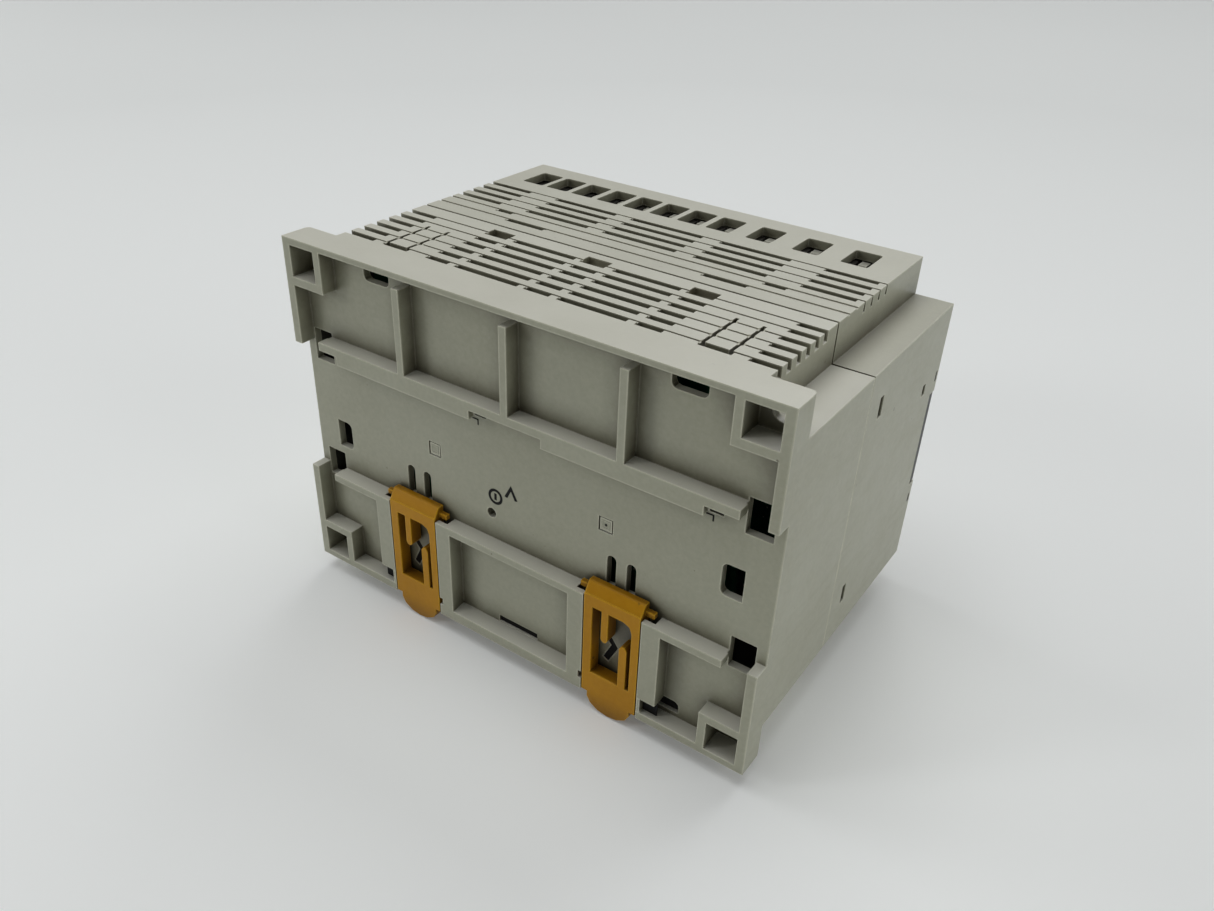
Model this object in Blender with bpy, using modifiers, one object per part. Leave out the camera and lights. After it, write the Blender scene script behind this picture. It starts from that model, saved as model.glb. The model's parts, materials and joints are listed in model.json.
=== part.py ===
"""Brick-shaped programmable logic controller with two sliding rail clips.

Sizes are in millimetres in the case's own directions: u runs from left to right
seen from behind, w runs up from the flange's lower edge, and d runs forward from
the rear face. place() turns them into metres, with the front towards -Y.
"""
import math

import bmesh
import bpy
from mathutils import Matrix, Vector

MM = 0.001
WIDTH = 130.0
HEIGHT = 90.0
DEPTH = 85.0
TAB_DROP = 4.5
GAP = 0.3
PAST = 1.0

# Case: a rear flange, then a block with cut-away corners, split at the seam.
WALL = 2.2
FLANGE_D = 8.0
FLANGE_R = 1.2
FLOOR_D = 4.0
CAVITY_D = 6.0
SEAM_D = 37.5
SEAM_STEP = 0.35
BLOCK_U = 9.3
SHOULDER_W = 9.2

# Back: 35 mm rail channel between the upper hooks and the lower ledge.
RAIL_W0 = 28.4
RAIL_W1 = 63.4
SIDE_T = 2.3
EDGE_T = 1.5
SILL_T = 2.2
LEDGE_T = 2.2
LEDGE_U = 8.2
LIP_T = 1.8
LIP_DROP = 2.2
LIPS = ((14.0, 55.2), (74.9, 114.2))
RIBS = (34.2, 64.1, 93.8)
RIB_T = 2.0
RIB_TOP = 86.2
POST_U = 12.0
POST_W = 11.6
POCKET = 7.6
POCKET_D = 6.2
SCREW_HOLE_R = 2.25
SCREW_INSET = 5.0
BAR_U = 22.9
BAR_W = 6.3
CELL_U = 47.4
CELL_W = 2.3

# Holes through the back's floor: u0, u1, w0, w1 and each corner's radius.
FLOOR_HOLES = (
    (2.5, 8.5, 58.2, 66.5, (0.2, 0.2, 0.2, 0.2)),
    (121.5, 127.5, 58.2, 66.5, (0.2, 0.2, 0.2, 0.2)),
    (2.5, 8.4, 25.0, 32.8, (0.2, 0.2, 0.2, 0.2)),
    (121.5, 127.4, 24.2, 32.2, (0.2, 0.2, 0.2, 0.2)),
    (7.3, 12.0, 35.0, 42.5, (0, 1.3, 1.3, 0)),
    (117.7, 122.7, 41.5, 49.3, (1.3, 0, 0, 1.3)),
    (21.8, 29.5, 83.6, 87.6, (1.3, 1.3, 1.3, 1.3)),
    (102.8, 110.8, 83.5, 87.6, (1.3, 1.3, 1.3, 1.3)),
    (59.3, 71.0, 4.0, 5.8, (0, 0, 0, 0)),
    (102.5, 111.0, 3.4, 6.6, (0.5, 0.5, 1.4, 0.5)),
    (19.0, 27.5, 3.4, 6.6, (0.5, 0.5, 0.5, 1.4)),
    (53.4, 56.6, 60.1, 63.2, (0, 0, 0, 0)),
    (113.5, 116.6, 59.9, 63.2, (0, 0, 0, 0)),
)
SPRING_SLOTS = (31.0, 36.2, 90.25, 95.4)
SPRING_SLOT_U = 2.4
DETENT = ((-3.9, 15.6), (-2.2, 13.6), (-4.3, 9.2), (-2.9, 8.4), (-0.4, 13.5), (-2.7, 16.6))
PROBE_HOLE = (57.6, 35.4)
PROBE_R = 1.3
GATE_MARKS = ((38.7, 44.3), (87.7, 44.0))
GATE_MARK = 3.6
GATE_DEEP = 0.5
BOSS_U = 22.0
BOSS_W = 20.0
BOSS_R = 3.0

# Snap tongues on the rear case, and the windows that they click into.
SNAP_W = (20.8, 70.8)
SNAP_D = 45.0
SNAP_HALF = 2.1
CATCH = (60.6, 63.4, 74.5, 76.4)

# Vents in the top and bottom walls: rows along d, slots along u.
VENT_T = 1.8
GROOVE_T = 0.9
GROOVE_DEEP = 0.5
NOTCH_DEEP = 2.4
REAR_ROWS = (11.75, 15.75, 19.8, 23.8, 27.8, 31.7)
FRONT_ROWS = (50.4, 54.4, 58.4, 62.4)
REAR_SLOTS = ((7.0, 18.2), (34.3, 40.6), (42.6, 60.0), (61.8, 68.4),
              (70.4, 87.5), (89.5, 95.7), (114.5, 123.0))
REAR_EXTRA = ((21.5, 28.6), (103.8, 111.0))
FRONT_SLOTS = ((7.0, 23.0), (31.3, 50.0), (54.5, 74.8), (79.6, 98.0), (106.3, 119.0))
FRONT_EXTRA = ((46.4, ((25.0, 30.0), (99.3, 104.7))), (42.2, ((31.5, 43.0), (86.5, 97.5))))
SLITS = (21.3, 27.4, 104.0, 110.1)
SLIT_T = 1.1
SLIT_D = (11.2, 26.3)
SLIT_DEEP = 1.8
KEY_POCKETS = (37.3, 64.8, 92.3)
KEY_POCKET = (6.5, 30.9, 34.7)
KEY_DEEP = 1.8
WINDOWS = (18.0, 25.9, 34.0, 42.2, 50.3, 58.4, 66.5, 74.7, 85.7, 97.9, 110.1)
LOWER_WINDOWS = tuple(19.0 + 13.1 * i for i in range(8))
WINDOW_U = 6.6
WINDOW_D = (69.2, 78.9)
WINDOW_R = 0.6

# Rail clips.
CLIP_CENTRES = (35.35, 94.65)
CLIP_HALF = 7.45
CLIP_T = 3.4
CLIP_TOP = 29.2
CLIP_SIDE_GAP = 0.2
EAR = 2.3
EAR_W = (28.8, 30.2)
EAR_D = (1.8, 3.1)
EAR_SLOT_W = 23.0

# Front: two hinged covers with a lower band between them.
BAND_W0 = 28.8
BAND_W1 = 61.0
BAND_D = 82.0
FRONT_T = 2.0
PANEL_D = 83.9
COVER_U = (12.0, 118.0)
COVER_EDGE = 2.3
COVER_D = 83.0
HINGE_W = 64.5
HINGE_D = 83.7
HINGE_R = 1.3
PIN_R = 0.7
PIN_HOLE_R = 0.78
DOOR_HINGE_U = 103.6
DOOR_U = 129.8
DOOR_D = (82.6, 85.0)
BAND_STOPS = ((28.3, 32.0), (58.0, 61.5))
BAND_STOP_U = 127.5
BAY = (104.5, 126.0, 31.5, 58.5)
BAY_D = 66.0
BAY_T = 1.5
LENS = (30.0, 98.0, 47.5, 58.5)
OPTIONS = (37.0, 69.0)
OPTION = (28.0, 32.0, 44.5)
EXPANSION = (4.0, 26.0, 32.0, 58.0)
RIM = 1.4
TRIMMERS = (35.0, 42.0)
TRIMMER_U = 30.5
TRIMMER_HOLE_R = 2.6

# Terminal blocks: two tiers of wells with a barrier wall before each terminal.
BLOCK_U0 = 13.0
BLOCK_U1 = 117.0
BLOCK_D = 54.0
BARRIER_T = 2.0
TIERS = (((75.4, 87.3), 66.0, 79.5), ((65.0, 76.0), 71.0, 78.9))
SCREW_W = 81.6
SCREW_R = 2.7
SCREW_T = 2.3

# Circuit boards, each named by the depth of its rear face.
BOARD_T = 1.6
POWER_D = 14.0
IO_D = 52.0
CPU_D = 74.0
ON_POWER = POWER_D + BOARD_T + GAP
ON_IO = IO_D + BOARD_T + GAP
ON_CPU = CPU_D + BOARD_T + GAP

# Plain pieces: material, then u0, u1, w0, w1, d0, d1.
BOXES = {
    "power_board": ("board_green", (14.0, 116.0, 6.0, 84.0, POWER_D, POWER_D + BOARD_T)),
    "io_board": ("board_green", (14.0, 116.0, 5.0, 85.0, IO_D, IO_D + BOARD_T)),
    "cpu_board": ("board_green", (6.0, 101.0, 31.0, 59.0, CPU_D, CPU_D + BOARD_T)),
    "riser_board": ("board_green", (16.0, 17.6, 28.0, 62.0, ON_POWER, IO_D - GAP)),
    "cpu_header": ("part_black", (40.0, 80.0, 34.0, 37.0, ON_IO, CPU_D - GAP)),
    "relay_1": ("part_black", (24.0, 44.0, 7.0, 17.5, IO_D - 16.0, IO_D - GAP)),
    "relay_2": ("part_black", (52.0, 72.0, 7.0, 17.5, IO_D - 16.0, IO_D - GAP)),
    "relay_3": ("part_black", (80.0, 100.0, 7.0, 17.5, IO_D - 16.0, IO_D - GAP)),
    "processor": ("part_black", (50.0, 64.0, 38.0, 48.0, ON_CPU, ON_CPU + 1.7)),
    "optocoupler_bank": ("part_black", (30.0, 100.0, 48.0, 54.0, ON_IO, ON_IO + 3.6)),
    "trimmer_body": ("part_black", (26.0, 34.8, 32.4, 45.0, ON_CPU, 78.0)),
    "usb_tongue": ("part_black", (109.5, 115.5, 50.6, 54.0, BAY_D + 2.3, 79.5)),
    "mode_switch_slider": ("knob_white", (121.7, 123.7, 49.0, 51.6, 75.7, 80.0)),
}

# Each material's colour, roughness and metallic value.
MATERIALS = {
    "housing_grey": ((0.48, 0.48, 0.41), 0.55, 0.0),
    "clip_amber": ((0.58, 0.27, 0.02), 0.5, 0.0),
    "panel_dark": ((0.055, 0.06, 0.06), 0.5, 0.0),
    "lens_smoked": ((0.05, 0.06, 0.055), 0.15, 0.0),
    "terminal_black": ((0.03, 0.03, 0.032), 0.55, 0.0),
    "screw_steel": ((0.62, 0.6, 0.55), 0.3, 1.0),
    "board_green": ((0.02, 0.14, 0.06), 0.45, 0.0),
    "part_black": ((0.025, 0.025, 0.028), 0.5, 0.0),
    "shell_metal": ((0.7, 0.7, 0.7), 0.25, 1.0),
    "core_steel": ((0.25, 0.25, 0.26), 0.4, 1.0),
    "tape_yellow": ((0.65, 0.5, 0.06), 0.5, 0.0),
    "cell_wrap": ((0.1, 0.2, 0.45), 0.35, 0.0),
    "can_sleeve": ((0.03, 0.04, 0.12), 0.35, 0.0),
    "sink_alloy": ((0.72, 0.72, 0.73), 0.35, 1.0),
    "tube_glass": ((0.8, 0.85, 0.85), 0.1, 0.0),
    "knob_white": ((0.75, 0.75, 0.72), 0.45, 0.0),
}


def place(u, w, d):
    return Vector(((WIDTH / 2 - u) * MM, (DEPTH / 2 - d) * MM, (w + TAB_DROP) * MM))


def point(axis, a, b, along):
    """Outlines are (u, w) along d, (u, d) along w and (d, w) along u."""
    if axis == "d":
        return place(a, b, along)
    if axis == "w":
        return place(a, along, b)
    return place(along, b, a)


def add_box(bm, u0, u1, w0, w1, d0, d1):
    size = Vector((u1 - u0, d1 - d0, w1 - w0)) * MM
    centre = place((u0 + u1) / 2, (w0 + w1) / 2, (d0 + d1) / 2)
    bmesh.ops.create_cube(bm, size=1.0, matrix=Matrix.Translation(centre) @ Matrix.Diagonal((*size, 1)))


def add_prism(bm, axis, outline, low, high):
    face = bm.faces.new([bm.verts.new(point(axis, a, b, low)) for a, b in outline])
    grown = bmesh.ops.extrude_face_region(bm, geom=[face])["geom"]
    moved = [part for part in grown if isinstance(part, bmesh.types.BMVert)]
    bmesh.ops.translate(bm, vec=point(axis, 0, 0, high) - point(axis, 0, 0, low), verts=moved)
    sides = {side for vert in (*moved, *face.verts) for side in vert.link_faces}
    bmesh.ops.recalc_face_normals(bm, faces=list(sides))


def add_round(bm, axis, centre, radius, low, high, segments=12):
    turns = {"d": Matrix.Rotation(math.pi / 2, 4, "X"), "u": Matrix.Rotation(math.pi / 2, 4, "Y")}
    matrix = Matrix.Translation(point(axis, *centre, (low + high) / 2)) @ turns.get(axis, Matrix())
    bmesh.ops.create_cone(bm, cap_ends=True, segments=segments, radius1=radius * MM,
                          radius2=radius * MM, depth=(high - low) * MM, matrix=matrix)


def arc(a, b, radius, start, stop, steps):
    """Points round (a, b) from one angle in degrees to another."""
    turns = [math.radians(start + (stop - start) * k / steps) for k in range(steps + 1)]
    return [(a + radius * math.cos(turn), b + radius * math.sin(turn)) for turn in turns]


def rounded(a0, a1, b0, b1, radii, steps=3):
    """Rectangle outline with one radius per corner, from (a0, b0) round by (a1, b0)."""
    corners = ((a0, b0, 1, 1, 180), (a1, b0, -1, 1, 270), (a1, b1, -1, -1, 0), (a0, b1, 1, -1, 90))
    outline = []
    for (a, b, side_a, side_b, start), r in zip(corners, radii):
        if r:
            outline += arc(a + side_a * r, b + side_b * r, r, start, start + 90, steps)
        else:
            outline.append((a, b))
    return outline


def cross_outline(inset):
    """The case's outline with its cut-away corners, drawn in by inset."""
    left = BLOCK_U + inset
    right = WIDTH - left
    low = SHOULDER_W + inset
    high = HEIGHT - low
    end = WIDTH - inset
    top = HEIGHT - inset
    return [(left, inset), (right, inset), (right, low), (end, low), (end, high), (right, high),
            (right, top), (left, top), (left, high), (inset, high), (inset, low), (left, low)]


def on_side(side, u0, u1):
    return (WIDTH - u1, WIDTH - u0) if side else (u0, u1)


def flipped(outline, side):
    return [(WIDTH - a, b) for a, b in outline] if side else outline


def above_or_below(sign, w):
    """The height w itself, or its mirror below the case's middle."""
    return HEIGHT / 2 + sign * (w - HEIGHT / 2)


def make_material(name):
    colour, roughness, metallic = MATERIALS[name]
    material = bpy.data.materials.get(name) or bpy.data.materials.new(name)
    material.use_nodes = True
    shader = material.node_tree.nodes["Principled BSDF"]
    shader.inputs["Base Color"].default_value = (*colour, 1.0)
    shader.inputs["Roughness"].default_value = roughness
    shader.inputs["Metallic"].default_value = metallic
    material.diffuse_color = (*colour, 1.0)
    return material


def middle(bm):
    corners = [[pick(v.co[i] for v in bm.verts) for i in range(3)] for pick in (min, max)]
    return (Vector(corners[0]) + Vector(corners[1])) / 2


def make_object(name, bm, collection, origin):
    bmesh.ops.translate(bm, vec=-origin, verts=bm.verts)
    mesh = bpy.data.meshes.new(name)
    bm.to_mesh(mesh)
    bm.free()
    mesh.shade_smooth()
    mesh.set_sharp_from_angle(angle=math.radians(30))
    obj = bpy.data.objects.new(name, mesh)
    collection.objects.link(obj)
    return obj


class Piece:
    """One named piece: a first solid, then solids joined to it or cut from it in order.

    Its origin is its pivot (u, w, d) where it moves, and its middle where it doesn't.
    """

    def __init__(self, name, material, pivot=None):
        self.name = name
        self.material = material
        self.pivot = pivot
        self.bm = bmesh.new()
        self.tools = []

    def tool(self, operation):
        bm = bmesh.new()
        self.tools.append((operation, bm))
        return bm

    def build(self, bevel=0.0):
        origin = place(*self.pivot) if self.pivot else middle(self.bm)
        obj = make_object(self.name, self.bm, PARTS, origin)
        obj.location = origin
        obj.data.materials.append(make_material(self.material))
        for number, (operation, bm) in enumerate(self.tools, 1):
            label = f"{self.name}_{operation.lower()}_{number}"
            cutter = make_object(label, bm, CUTTERS, origin)
            cutter.parent = obj
            cutter.hide_render = True
            cutter.display_type = "WIRE"
            boolean = obj.modifiers.new(label, "BOOLEAN")
            boolean.operation = operation
            boolean.solver = "EXACT"
            boolean.use_self = True
            boolean.object = cutter
        if bevel:
            modifier = obj.modifiers.new("edge", "BEVEL")
            modifier.width = bevel * MM
            modifier.segments = 1
            modifier.limit_method = "ANGLE"
            modifier.angle_limit = math.radians(60)
        return obj


def box_piece(name, pivot=None):
    material, size = BOXES[name]
    piece = Piece(name, material, pivot)
    add_box(piece.bm, *size)
    return piece.build()


def prism_piece(name, material, axis, outline, low, high):
    piece = Piece(name, material)
    add_prism(piece.bm, axis, outline, low, high)
    return piece.build()


def round_piece(name, material, axis, centre, radius, low, high, segments=16, bevel=0.4, pivot=None):
    piece = Piece(name, material, pivot)
    add_round(piece.bm, axis, centre, radius, low, high, segments)
    return piece.build(bevel)


def cut_vents(bm, rows, slots, w0, w1):
    for row in rows:
        for u0, u1 in slots:
            add_box(bm, u0, u1, w0, w1, row - VENT_T / 2, row + VENT_T / 2)


def cut_grooves(bm, rows):
    for row in rows:
        add_box(bm, BLOCK_U - PAST, WIDTH - BLOCK_U + PAST, HEIGHT - GROOVE_DEEP, HEIGHT + PAST,
                row, row + GROOVE_T)


def cut_rear_relief(bm):
    """Everything hollowed out of the flange from behind, down to the floor."""
    band_top = HEIGHT - EDGE_T
    post = HEIGHT - POST_W
    band = [(SIDE_T, RAIL_W1 - 3), (WIDTH - SIDE_T, RAIL_W1 - 3), (WIDTH - SIDE_T, post),
            (WIDTH - POST_U, post), (WIDTH - POST_U, band_top), (POST_U, band_top),
            (POST_U, post), (SIDE_T, post)]
    add_prism(bm, "d", band, -PAST, FLOOR_D)
    add_box(bm, -PAST, WIDTH + PAST, RAIL_W0, RAIL_W1, -PAST, FLOOR_D)
    ledge = RAIL_W0 - LEDGE_T + 0.2
    bar_edge = CLIP_CENTRES[0] - CLIP_HALF - CLIP_SIDE_GAP
    cell = [(SIDE_T, POST_W), (POST_U, POST_W), (POST_U, SILL_T), (bar_edge, SILL_T),
            (bar_edge, BAR_W), (BAR_U, BAR_W), (BAR_U, ledge), (LEDGE_U, ledge),
            (LEDGE_U, RAIL_W0 + PAST), (SIDE_T, RAIL_W0 + PAST)]
    for side in (0, 1):
        add_prism(bm, "d", flipped(cell, side), -PAST, FLOOR_D)
    add_box(bm, CELL_U, WIDTH - CELL_U, CELL_W, ledge, -PAST, FLOOR_D)
    for centre in CLIP_CENTRES:
        half = CLIP_HALF + CLIP_SIDE_GAP
        ear = half + EAR + 0.4
        add_box(bm, centre - half, centre + half, -PAST, RAIL_W0 + PAST, -PAST, FLOOR_D)
        add_box(bm, centre - ear, centre + ear, EAR_SLOT_W, RAIL_W0 + PAST, EAR_D[0] - 0.4, FLOOR_D)


def add_rear_ribs(bm):
    """Upper ledge with its two hook lips, three ribs, board bosses and snap tongues."""
    add_box(bm, LEDGE_U, WIDTH - LEDGE_U, RAIL_W1, RAIL_W1 + LEDGE_T, 0, FLOOR_D + PAST)
    for rib in RIBS:
        add_box(bm, rib, rib + RIB_T, RAIL_W1 + PAST, RIB_TOP, 0, FLOOR_D + PAST)
    for u0, u1 in LIPS:
        add_box(bm, u0, u1, RAIL_W1 - LIP_DROP, RAIL_W1 + PAST, 0, LIP_T)
    for u in (BOSS_U, WIDTH - BOSS_U):
        for w in (BOSS_W, HEIGHT - BOSS_W):
            add_round(bm, "d", (u, w), BOSS_R, CAVITY_D - PAST, POWER_D - GAP)
    for side in (0, 1):
        for w in SNAP_W:
            span = (w - SNAP_HALF, w + SNAP_HALF)
            tongue_u = WALL + GAP
            tip = tongue_u + 1.2
            add_box(bm, *on_side(side, 0.8, tip), *span, SEAM_D - 6, SEAM_D - 1)
            add_box(bm, *on_side(side, tongue_u, tip), *span, SEAM_D - 2, SNAP_D + 1)
            add_box(bm, *on_side(side, 1.0, tip), *span, SNAP_D - 0.6, SNAP_D + 0.7)


def cut_floor_holes(bm):
    through = (FLOOR_D - PAST, CAVITY_D + PAST)
    for u0, u1, w0, w1, radii in FLOOR_HOLES:
        add_prism(bm, "d", rounded(u0, u1, w0, w1, radii), *through)
    for u0 in SPRING_SLOTS:
        end = SPRING_SLOT_U / 2 - 0.05
        slot = rounded(u0, u0 + SPRING_SLOT_U, 30.0, 38.5, (0, 0, end, end))
        add_prism(bm, "d", slot, *through)
    for centre in CLIP_CENTRES:
        add_prism(bm, "d", [(centre + a, b) for a, b in DETENT], *through)
    add_round(bm, "d", PROBE_HOLE, PROBE_R, *through)
    for u0, w0 in GATE_MARKS:
        add_box(bm, u0, u0 + GATE_MARK, w0, w0 + GATE_MARK, FLOOR_D - PAST, FLOOR_D + GATE_DEEP)
    for u0 in (CELL_U - 4.4, WIDTH - CELL_U + 3.5):
        add_box(bm, u0, u0 + 0.9, 3.3, 5.3, -PAST, 1.5)
    for side in (0, 1):
        for sign in (1, -1):
            pocket_u = on_side(side, SIDE_T, SIDE_T + POCKET)
            edges = (above_or_below(sign, HEIGHT - 1.8), above_or_below(sign, HEIGHT - 1.8 - POCKET))
            add_box(bm, *pocket_u, min(edges), max(edges), -PAST, POCKET_D)
            u = WIDTH - SCREW_INSET if side else SCREW_INSET
            w = above_or_below(sign, HEIGHT - SCREW_INSET)
            add_round(bm, "d", (u, w), SCREW_HOLE_R, POCKET_D - 2, FLANGE_D + PAST, 16)


def cut_rear_vents(bm):
    inner = HEIGHT - NOTCH_DEEP
    cut_vents(bm, REAR_ROWS[:-1], REAR_SLOTS, inner, HEIGHT + PAST)
    cut_vents(bm, REAR_ROWS[-1:], REAR_SLOTS[::2], inner, HEIGHT + PAST)
    cut_vents(bm, REAR_ROWS[:1], REAR_EXTRA, inner, HEIGHT + PAST)
    below = [on_side(1, *slot) for slot in REAR_SLOTS[1:6]]
    cut_vents(bm, REAR_ROWS, below, -PAST, NOTCH_DEEP)
    size, d0, d1 = KEY_POCKET
    for u in KEY_POCKETS:
        add_box(bm, u - size / 2, u + size / 2, HEIGHT - KEY_DEEP, HEIGHT + PAST, d0, d1)
    for u in SLITS:
        add_box(bm, u - SLIT_T / 2, u + SLIT_T / 2, HEIGHT - SLIT_DEEP, HEIGHT + PAST, *SLIT_D)


def rear_case():
    piece = Piece("rear_case", "housing_grey")
    flange = rounded(0, WIDTH, 0, FLANGE_D, (0, 0, FLANGE_R, FLANGE_R))
    add_prism(piece.bm, "w", flange, 0, HEIGHT)
    add_prism(piece.tool("UNION"), "d", cross_outline(0), FLANGE_D - 3, SEAM_D - GAP)
    hollow = piece.tool("DIFFERENCE")
    add_prism(hollow, "d", cross_outline(WALL), CAVITY_D, SEAM_D + PAST)
    cut_rear_relief(hollow)
    add_rear_ribs(piece.tool("UNION"))
    cut_floor_holes(piece.tool("DIFFERENCE"))
    cut_grooves(piece.tool("DIFFERENCE"), REAR_ROWS)
    cut_rear_vents(piece.tool("DIFFERENCE"))
    return piece.build()


def cut_front_openings(bm):
    """Port bay, wire windows, snap windows, hinge sockets and the band's apertures."""
    add_box(bm, *BAY, BAY_D, BAND_D + PAST)
    for centres, w0, w1 in ((WINDOWS, HEIGHT - WALL - PAST, HEIGHT + PAST),
                            (LOWER_WINDOWS, -PAST, WALL + PAST)):
        for u in centres:
            outline = rounded(u - WINDOW_U / 2, u + WINDOW_U / 2, *WINDOW_D, (WINDOW_R,) * 4, 2)
            add_prism(bm, "w", outline, w0, w1)
    for side in (0, 1):
        wall = on_side(side, -PAST, WALL + 0.2)
        for w in SNAP_W:
            add_box(bm, *wall, w - SNAP_HALF - 0.4, w + SNAP_HALF + 0.4, SNAP_D - 1, SNAP_D + 1)
        add_box(bm, *wall, *CATCH)
        socket = on_side(side, COVER_U[0] - 1.6, COVER_U[0])
        for sign in (1, -1):
            add_round(bm, "u", (HINGE_D, above_or_below(sign, HINGE_W)), PIN_HOLE_R, *socket)
    add_round(bm, "w", (DOOR_HINGE_U, HINGE_D), PIN_HOLE_R, BAND_W0 - 1.2, BAND_W1 + 1.2)
    wall = (BAND_D - FRONT_T - PAST, BAND_D + PAST)
    for u0, u1, w0, w1 in (LENS, EXPANSION, *((u, u + OPTION[0], *OPTION[1:]) for u in OPTIONS)):
        add_box(bm, u0 + RIM, u1 - RIM, w0 + RIM, w1 - RIM, *wall)
    for w in TRIMMERS:
        add_round(bm, "d", (TRIMMER_U, w), TRIMMER_HOLE_R, *wall, 16)


def cut_front_vents(bm):
    inner = HEIGHT - NOTCH_DEEP
    cut_vents(bm, FRONT_ROWS, FRONT_SLOTS, inner, HEIGHT + PAST)
    for row, slots in FRONT_EXTRA:
        cut_vents(bm, (row,), slots, inner, HEIGHT + PAST)
    cut_vents(bm, FRONT_ROWS, [on_side(1, *slot) for slot in FRONT_SLOTS[1:4]], -PAST, NOTCH_DEEP)
    for row in FRONT_ROWS:
        add_box(bm, WIDTH - BLOCK_U - 0.9, WIDTH - BLOCK_U + PAST, inner, HEIGHT + PAST,
                row, row + GROOVE_T)


def front_case():
    piece = Piece("front_case", "housing_grey")
    add_prism(piece.bm, "d", cross_outline(0), SEAM_D + SEAM_STEP, DEPTH)
    add_prism(piece.tool("UNION"), "d", cross_outline(SEAM_STEP), SEAM_D, SEAM_D + 2)

    hollow = piece.tool("DIFFERENCE")
    add_prism(hollow, "d", cross_outline(WALL), SEAM_D - PAST, BAND_D - FRONT_T)
    add_box(hollow, -PAST, WIDTH + PAST, BAND_W0, BAND_W1, BAND_D, DEPTH + PAST)
    for sign in (1, -1):
        edges = [above_or_below(sign, w) for w in (HINGE_W - HINGE_R - GAP, HEIGHT - COVER_EDGE)]
        add_box(hollow, COVER_U[0] - GAP, COVER_U[1] + GAP, min(edges), max(edges),
                BAND_D - 3, DEPTH + PAST)

    bay = piece.tool("UNION")
    add_box(bay, BAY[0] - BAY_T, WIDTH - PAST, BAY[2] - BAY_T, BAY[3] + BAY_T,
            BAY_D - BAY_T, BAND_D - PAST)
    for stop in BAND_STOPS:
        add_box(bay, BAND_STOP_U, WIDTH, *stop, BAND_D - 2, DEPTH)
    cut_front_openings(piece.tool("DIFFERENCE"))
    cut_grooves(piece.tool("DIFFERENCE"), (46.4, 42.2, *FRONT_ROWS))
    cut_front_vents(piece.tool("DIFFERENCE"))
    return piece.build()


def clip_outline(centre):
    tab = [(-5.9, 0.4), (-5.9, -1.0), (-4.9, -2.8), (-2.6, -4.1), (0.0, -TAB_DROP),
           (2.6, -4.1), (4.9, -2.8), (5.9, -1.0), (5.9, 0.4)]
    outline = [(-CLIP_HALF, CLIP_TOP), (-CLIP_HALF, 0.4), *tab, (CLIP_HALF, 0.4),
               (CLIP_HALF, CLIP_TOP)]
    return [(centre + a, b) for a, b in outline]


def clip_window(centre):
    """The clip's opening, drawn round its two spring prongs."""
    low, high = 6.8, 25.9
    lower = [(2.3, low), (2.3, 17.9), (2.9, 18.8), (3.8, 18.8), (4.4, 17.9), (4.4, low)]
    corner = [(5.3, low), (5.3, 23.7), (4.7, 25.2), (3.1, high)]
    upper = [(-0.8, high), (-0.8, 18.2), (-1.3, 17.4), (-2.2, 17.4), (-2.7, 18.2), (-2.7, high)]
    outline = [(-5.1, high), (-5.1, low), *lower, *corner, *upper]
    return [(centre + a, b) for a, b in outline]


def din_clip(name, centre):
    piece = Piece(name, "clip_amber", (centre, HEIGHT / 6, CLIP_T / 2))
    add_prism(piece.bm, "d", clip_outline(centre), 0, CLIP_T)
    add_prism(piece.tool("DIFFERENCE"), "d", clip_window(centre), -PAST, CLIP_T + PAST)
    top = piece.tool("UNION")
    hook = [(0.0, CLIP_TOP - 0.5), (1.6, 31.4), (2.0, 31.7), (CLIP_T, 31.7), (CLIP_T, 27.5), (0.0, 27.5)]
    add_prism(top, "u", hook, centre - CLIP_HALF, centre + CLIP_HALF)
    add_box(top, centre - CLIP_HALF - EAR, centre + CLIP_HALF + EAR, *EAR_W, *EAR_D)
    return piece.build()


def hinged_cover(name, sign):
    """Terminal cover with a rolled hinge edge; sign is +1 for the upper cover."""
    hinge = above_or_below(sign, HINGE_W)
    tip = above_or_below(sign, HEIGHT - COVER_EDGE - GAP)
    piece = Piece(name, "housing_grey", (WIDTH / 2, hinge, HINGE_D))
    rolled = arc(HINGE_D, hinge, HINGE_R, 0, -180 * sign, 8)
    outline = [(COVER_D, tip), (DEPTH, tip), *rolled, (COVER_D, hinge + sign * HINGE_R)]
    add_prism(piece.bm, "u", outline, *COVER_U)
    fittings = piece.tool("UNION")
    for low, high in ((COVER_U[0] - 1.3, COVER_U[0] + 2), (COVER_U[1] - 2, COVER_U[1] + 1.3)):
        add_round(fittings, "u", (HINGE_D, hinge), PIN_R, low, high)
    catch = sorted((tip, tip - sign))
    add_box(fittings, 45.0, 85.0, *catch, COVER_D - 1.6, COVER_D + 0.4)
    return piece.build()


def port_door():
    low, high = BAND_W0 + 0.4, BAND_W1 - 0.4
    piece = Piece("port_door", "panel_dark", (DOOR_HINGE_U, (low + high) / 2, HINGE_D))
    rolled = arc(DOOR_HINGE_U, HINGE_D, DOOR_D[1] - HINGE_D, 90, 270, 8)
    outline = [(DOOR_U, DOOR_D[0]), (DOOR_U, DOOR_D[1]), *rolled]
    add_prism(piece.bm, "w", outline, low, high)
    pins = piece.tool("UNION")
    for w0, w1 in ((BAND_W0 - 0.9, BAND_W0 + 2), (BAND_W1 - 2, BAND_W1 + 0.9)):
        add_round(pins, "w", (DOOR_HINGE_U, HINGE_D), PIN_R, w0, w1)
    corners = piece.tool("DIFFERENCE")
    for w0, w1 in BAND_STOPS:
        add_box(corners, BAND_STOP_U - GAP, WIDTH + PAST, w0 - GAP, w1 + GAP, BAND_D, DEPTH + PAST)
    return piece.build()


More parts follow.
